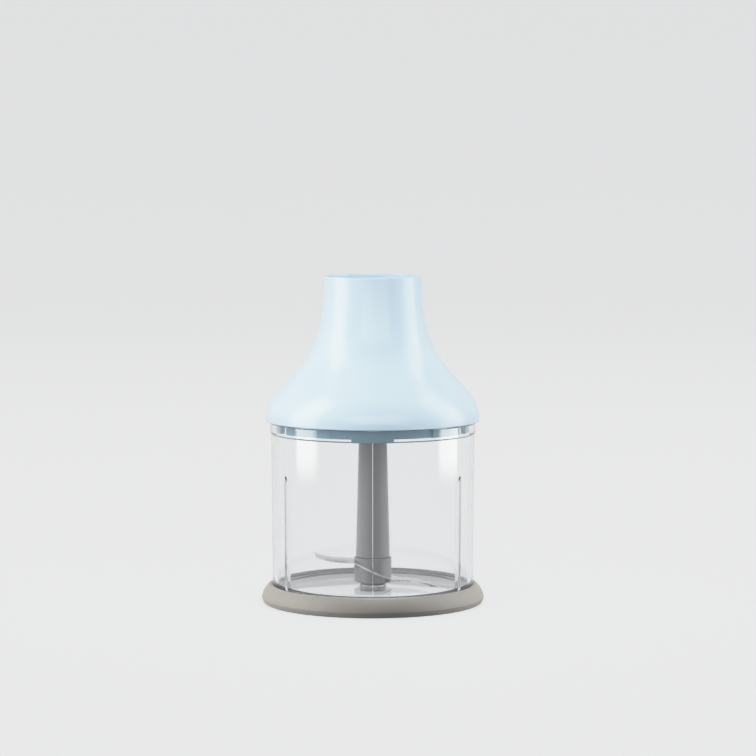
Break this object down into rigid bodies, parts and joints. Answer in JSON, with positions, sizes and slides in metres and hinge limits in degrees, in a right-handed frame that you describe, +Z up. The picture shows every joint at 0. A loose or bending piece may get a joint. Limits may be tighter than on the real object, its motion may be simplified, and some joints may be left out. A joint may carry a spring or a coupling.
{
  "type": "hand blender chopper",
  "caption": "Clear chopping bowl with a stepped two-winged blade on a pin, a pale blue bell-shaped gear lid with an open neck, and a soft non-slip base ring.",
  "frame": {"origin": "centre of the base's underside, on the surface the chopper stands on", "axes": "+Z up along the chopper's axis; -Y is the front, the side the picture was taken from; +X is its right"},
  "size_m": [0.1228, 0.1228, 0.18],
  "materials": {
    "pastel_blue": "satin to semi-gloss moulded plastic",
    "slate_blue": "satin moulded plastic, a darker blue than the lid",
    "clear_bowl": "clear polished plastic",
    "grey_plastic": "satin moulded plastic",
    "soft_grey": "soft matte elastomer",
    "steel": "ground stainless steel",
    "bronze": "sintered bronze",
    "white_nylon": "natural nylon",
    "silicone": "translucent silicone"
  },
  "bodies": {
    "base": {"non_slip_base": "soft_grey"},
    "bowl": {"bowl": "clear_bowl", "pivot_pin": "steel"},
    "blade_unit": {"blade_sleeve": "grey_plastic", "drive_tip": "steel", "upper_bush": "bronze", "lower_bush": "bronze", "hub_collar": "grey_plastic", "chopping_blade": "steel", "hub_base": "grey_plastic"},
    "seal": {"lid_seal": "silicone"},
    "lid": {"lid_shell": "pastel_blue", "lid_base": "slate_blue", "neck_liner": "pastel_blue", "gear_cover": "grey_plastic", "ring_gear": "white_nylon", "input_bush": "bronze", "output_bush": "bronze", "output_seal": "silicone", "gear_screw_1": "steel", "gear_screw_2": "steel", "gear_screw_3": "steel"},
    "input": {"input_shaft": "steel", "sun_gear": "steel", "drive_dog": "white_nylon", "retaining_clip": "steel"},
    "carrier": {"planet_carrier": "white_nylon", "carrier_ring": "white_nylon", "planet_pin_1": "steel", "planet_pin_2": "steel", "planet_pin_3": "steel"},
    "planet_1": {"planet_gear_1": "white_nylon"},
    "planet_2": {"planet_gear_2": "white_nylon"},
    "planet_3": {"planet_gear_3": "white_nylon"}
  },
  "joints": [
    {"name": "bowl_lift", "type": "slide", "parent": "base", "child": "bowl", "axis": [0, 0, 1], "range_m": [0, 0.03]},
    {"name": "blade_spin", "type": "hinge", "parent": "bowl", "child": "blade_unit", "pos_m": [0, 0, 0.0125], "axis": [0, 0, 1], "continuous": true},
    {"name": "lid_lift", "type": "slide", "parent": "bowl", "child": "seal", "axis": [0, 0, 1], "range_m": [0, 0.12]},
    {"name": "lid_turn", "type": "hinge", "parent": "seal", "child": "lid", "pos_m": [0, 0, 0.104], "axis": [0, 0, 1], "range_deg": [-25, 0]},
    {"name": "input_spin", "type": "hinge", "parent": "lid", "child": "input", "pos_m": [0, 0, 0.13], "axis": [0, 0, 1], "continuous": true},
    {"name": "carrier_spin", "type": "hinge", "parent": "lid", "child": "carrier", "pos_m": [0, 0, 0.1], "axis": [0, 0, 1], "continuous": true},
    {"name": "planet_1_spin", "type": "hinge", "parent": "carrier", "child": "planet_1", "pos_m": [0.012, 0, 0.113], "axis": [0, 0, 1], "continuous": true},
    {"name": "planet_2_spin", "type": "hinge", "parent": "carrier", "child": "planet_2", "pos_m": [-0.006, 0.01039, 0.113], "axis": [0, 0, 1], "continuous": true},
    {"name": "planet_3_spin", "type": "hinge", "parent": "carrier", "child": "planet_3", "pos_m": [-0.006, -0.01039, 0.113], "axis": [0, 0, 1], "continuous": true}
  ],
  "couplings": [
    {"joint": "carrier_spin", "follows": "input_spin", "ratio": 0.2},
    {"joint": "blade_spin", "follows": "input_spin", "ratio": 0.2},
    {"joint": "planet_1_spin", "follows": "input_spin", "ratio": -0.53333},
    {"joint": "planet_2_spin", "follows": "input_spin", "ratio": -0.53333},
    {"joint": "planet_3_spin", "follows": "input_spin", "ratio": -0.53333}
  ]
}
